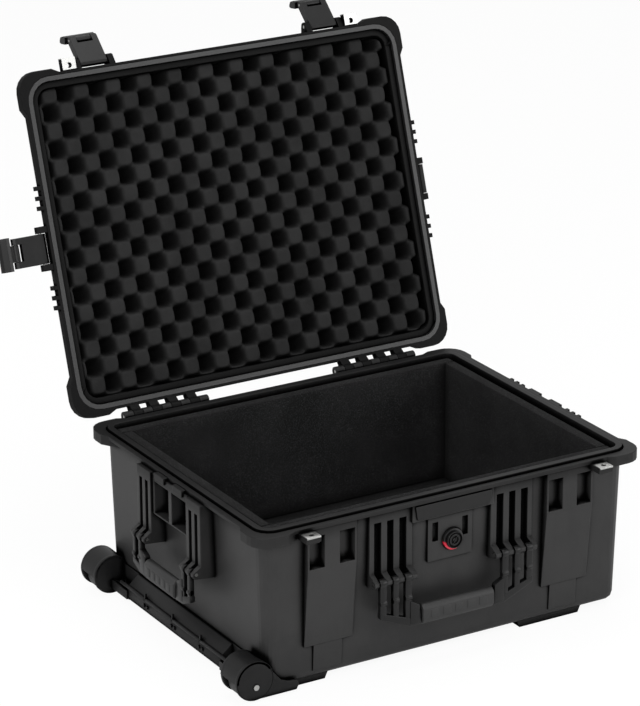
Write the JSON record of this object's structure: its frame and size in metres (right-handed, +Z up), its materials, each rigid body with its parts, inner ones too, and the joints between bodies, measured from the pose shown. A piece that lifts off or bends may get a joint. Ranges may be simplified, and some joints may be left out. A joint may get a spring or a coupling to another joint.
{
  "type": "hard equipment case",
  "caption": "Open hard equipment case with a hinged, foam-lined lid, fold-out throw latches, folding carry handles, wheels on one edge and a slide-out pull handle.",
  "frame": {"origin": "centre of the middle foot under the case, on the floor it stands on", "axes": "+Z up; -Y towards the front, where the two main latches and the name plate are; -X towards the wheeled side"},
  "size_m": [0.6961, 0.7299, 0.7278],
  "materials": {
    "shell": "fine moulded grain, satin",
    "fittings": "smooth, satin",
    "grip": "soft overmould, matt",
    "foam": "open-cell foam, matt",
    "seal": "smooth, matt",
    "tread": "hard rubber, matt",
    "steel": "brushed",
    "tube": "satin",
    "ring": "gloss"
  },
  "bodies": {
    "base": {"base_shell": "shell", "floor_pad": "foam", "lining_front": "foam", "lining_back": "foam", "lining_left": "foam", "lining_right": "foam", "hinge_pin_left": "steel", "hinge_pin_right": "steel", "base_padlock_plate_left": "steel", "base_padlock_plate_right": "steel", "name_plate": "fittings", "valve_body": "fittings", "valve_ring": "ring", "front_handle_pin_a": "steel", "front_handle_pin_b": "steel", "left_handle_pin_a": "steel", "left_handle_pin_b": "steel", "wheel_carrier": "shell", "wheel_axle_front": "steel", "wheel_axle_back": "steel", "pull_guide_front": "fittings", "pull_guide_back": "fittings"},
    "lid": {"lid_shell": "shell", "lid_gasket": "seal", "lid_foam": "foam", "lid_padlock_plate_left": "steel", "lid_padlock_plate_right": "steel", "latch_front_left_pin": "steel", "latch_front_right_pin": "steel", "latch_left_pin": "steel", "latch_right_pin": "steel"},
    "latch_front_left": {"latch_front_left_body": "fittings", "latch_front_left_claw_pin": "steel"},
    "claw_front_left": {"latch_front_left_claw": "fittings"},
    "latch_front_right": {"latch_front_right_body": "fittings", "latch_front_right_claw_pin": "steel"},
    "claw_front_right": {"latch_front_right_claw": "fittings"},
    "latch_left": {"latch_left_body": "fittings", "latch_left_claw_pin": "steel"},
    "claw_left": {"latch_left_claw": "fittings"},
    "latch_right": {"latch_right_body": "fittings", "latch_right_claw_pin": "steel"},
    "claw_right": {"latch_right_claw": "fittings"},
    "front_handle": {"front_handle": "fittings", "front_handle_grip": "grip"},
    "left_handle": {"left_handle": "fittings", "left_handle_grip": "grip"},
    "wheel_front": {"wheel_front": "tread"},
    "wheel_back": {"wheel_back": "tread"},
    "valve_knob": {"valve_knob": "fittings"},
    "pull_handle": {"pull_tube_front": "tube", "pull_tube_back": "tube", "pull_grip": "fittings"}
  },
  "joints": [
    {"name": "lid_hinge", "type": "hinge", "parent": "base", "child": "lid", "pos_m": [0, 0.2509, 0.2296], "axis": [1, 0, 0], "range_deg": [0, 108]},
    {"name": "latch_front_left_hinge", "type": "hinge", "parent": "lid", "child": "latch_front_left", "pos_m": [-0.187, 0.42122, 0.69747], "axis": [1, 0, 0], "range_deg": [-15, 120]},
    {"name": "latch_front_right_hinge", "type": "hinge", "parent": "lid", "child": "latch_front_right", "pos_m": [0.187, 0.42122, 0.69747], "axis": [1, 0, 0], "range_deg": [-15, 120]},
    {"name": "latch_left_hinge", "type": "hinge", "parent": "lid", "child": "latch_left", "pos_m": [-0.3112, 0.34498, 0.46284], "axis": [0, 0.309, 0.9511], "range_deg": [-15, 95]},
    {"name": "latch_right_hinge", "type": "hinge", "parent": "lid", "child": "latch_right", "pos_m": [0.3112, 0.34498, 0.46284], "axis": [0, -0.309, -0.9511], "range_deg": [-5, 170]},
    {"name": "claw_front_left_hinge", "type": "hinge", "parent": "latch_front_left", "child": "claw_front_left", "pos_m": [-0.187, 0.45012, 0.72215], "axis": [1, 0, 0], "range_deg": [-20, 45]},
    {"name": "claw_front_right_hinge", "type": "hinge", "parent": "latch_front_right", "child": "claw_front_right", "pos_m": [0.187, 0.45012, 0.72215], "axis": [1, 0, 0], "range_deg": [-20, 45]},
    {"name": "claw_left_hinge", "type": "hinge", "parent": "latch_left", "child": "claw_left", "pos_m": [-0.34897, 0.34908, 0.46151], "axis": [0, 0.309, 0.9511], "range_deg": [-60, 10]},
    {"name": "claw_right_hinge", "type": "hinge", "parent": "latch_right", "child": "claw_right", "pos_m": [0.31681, 0.38074, 0.45122], "axis": [0, -0.309, -0.9511], "range_deg": [-60, 10]},
    {"name": "front_handle_hinge", "type": "hinge", "parent": "base", "child": "front_handle", "pos_m": [0, -0.2355, 0.133], "axis": [1, 0, 0], "range_deg": [-90, 0]},
    {"name": "left_handle_hinge", "type": "hinge", "parent": "base", "child": "left_handle", "pos_m": [-0.311, 0, 0.133], "axis": [0, 1, 0], "range_deg": [0, 90]},
    {"name": "wheel_front_spin", "type": "hinge", "parent": "base", "child": "wheel_front", "pos_m": [-0.2985, -0.2005, 0.021], "axis": [0, 1, 0], "continuous": true},
    {"name": "wheel_back_spin", "type": "hinge", "parent": "base", "child": "wheel_back", "pos_m": [-0.2985, 0.2005, 0.021], "axis": [0, 1, 0], "continuous": true},
    {"name": "valve_turn", "type": "hinge", "parent": "base", "child": "valve_knob", "pos_m": [0.003, -0.2275, 0.166], "axis": [0, -1, 0], "range_deg": [0, 180]},
    {"name": "pull_handle_slide", "type": "slide", "parent": "base", "child": "pull_handle", "axis": [1, 0, 0], "range_m": [0, 0.28]}
  ]
}
